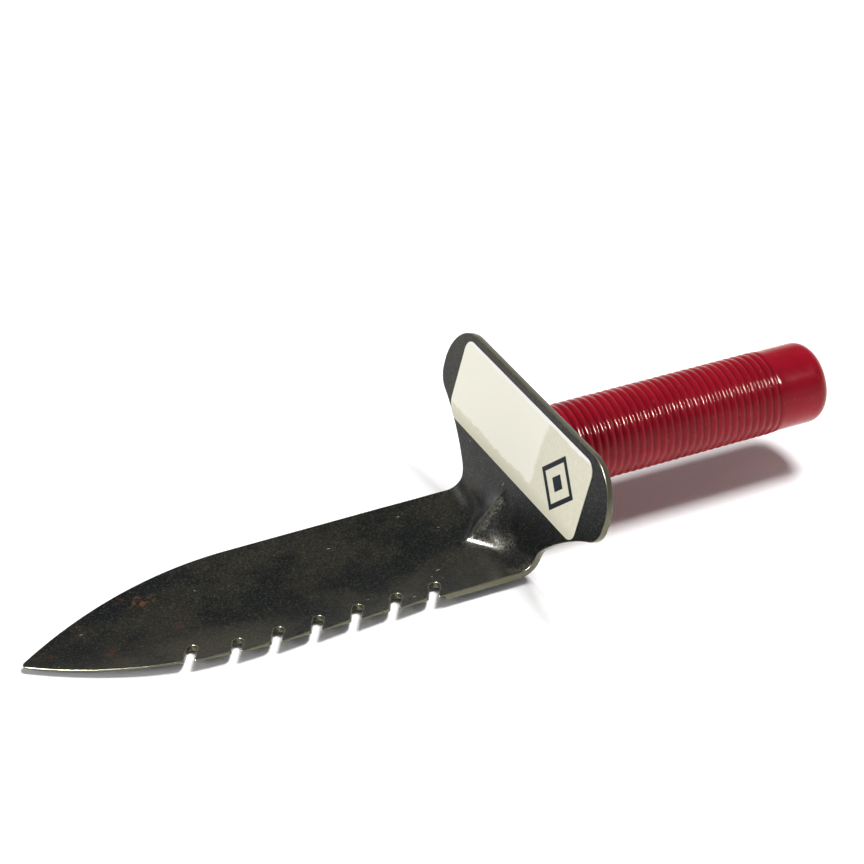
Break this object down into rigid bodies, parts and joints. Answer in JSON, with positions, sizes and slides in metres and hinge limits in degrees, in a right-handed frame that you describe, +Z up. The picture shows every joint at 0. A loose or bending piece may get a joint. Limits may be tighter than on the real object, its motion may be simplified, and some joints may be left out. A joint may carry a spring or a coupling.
{
  "type": "detecting shovel",
  "caption": "Hand digging shovel for metal detecting: dished pointed blade with a toothed edge, upright foot and hand guard, and a ribbed tubular grip.",
  "frame": {"origin": "middle of the tool's length and width, at the level it stands on", "axes": "+X from the blade's point to the end of the grip; the toothed edge is on the -Y side; +Z up, from the floor to the guard's top edge"},
  "size_m": [0.305, 0.1192, 0.0569],
  "materials": {
    "steel": "dark heat-treated steel, mottled, semi-gloss",
    "tube_steel": "plain drawn tube",
    "weld": "rippled fillet weld, heat tinted",
    "grip_vinyl": "glossy red soft vinyl",
    "label_foil": "cream satin label"
  },
  "bodies": {
    "root": {"blade_and_guard": "steel", "handle_tube": "tube_steel", "weld_bead": "weld", "grip": "grip_vinyl", "label": "label_foil"}
  },
  "joints": []
}
